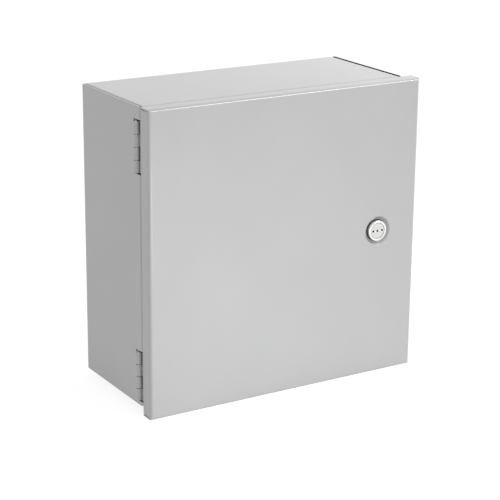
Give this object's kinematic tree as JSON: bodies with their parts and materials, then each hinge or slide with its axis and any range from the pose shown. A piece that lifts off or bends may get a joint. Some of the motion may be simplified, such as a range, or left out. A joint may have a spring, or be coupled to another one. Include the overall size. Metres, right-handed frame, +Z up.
{
  "type": "wall-mounted electrical enclosure",
  "caption": "Grey sheet-steel electrical enclosure: folded wall box with a left-hinged flanged door, slotted quarter-turn latch, inner mounting panel and ground studs.",
  "frame": {"origin": "centre of the wall-mounting hole pattern, on the outer back face of the box", "axes": "+Y out of the back into the wall, so the door faces -Y; +X to the right as seen from the front; +Z up"},
  "size_m": [0.3192, 0.1436, 0.314],
  "materials": {
    "grey_paint": "satin powder coat",
    "white_paint": "satin powder coat",
    "zinc_plate": "zinc plated",
    "latch_metal": "bright nickel",
    "black_rubber": "matt"
  },
  "bodies": {
    "enclosure": {"body_shell": "grey_paint", "mounting_panel": "white_paint", "panel_studs": "zinc_plate", "panel_nuts": "zinc_plate", "ground_stud": "zinc_plate", "ground_washer": "zinc_plate", "ground_nut": "zinc_plate", "upper_hinge_body_leaf": "grey_paint", "upper_hinge_pin": "zinc_plate", "lower_hinge_body_leaf": "grey_paint", "lower_hinge_pin": "zinc_plate"},
    "door": {"door": "grey_paint", "upper_hinge_door_leaf": "grey_paint", "lower_hinge_door_leaf": "grey_paint", "latch_gasket": "black_rubber", "latch_housing": "latch_metal", "latch_locknut": "zinc_plate", "door_ground_stud": "zinc_plate", "door_ground_washer": "zinc_plate", "door_ground_nut": "zinc_plate"},
    "latch": {"latch_plug": "latch_metal", "stop_washer": "zinc_plate", "latch_cam": "zinc_plate", "cam_lock_washer": "zinc_plate", "cam_nut": "zinc_plate"}
  },
  "joints": [
    {"name": "door_hinge", "type": "hinge", "parent": "enclosure", "child": "door", "pos_m": [-0.15275, -0.119, 0], "axis": [0, 0, -1], "range_deg": [0, 180]},
    {"name": "latch_turn", "type": "hinge", "parent": "door", "child": "latch", "pos_m": [0.116, -0.135, -0.0045], "axis": [0, -1, 0], "range_deg": [0, 90]}
  ]
}
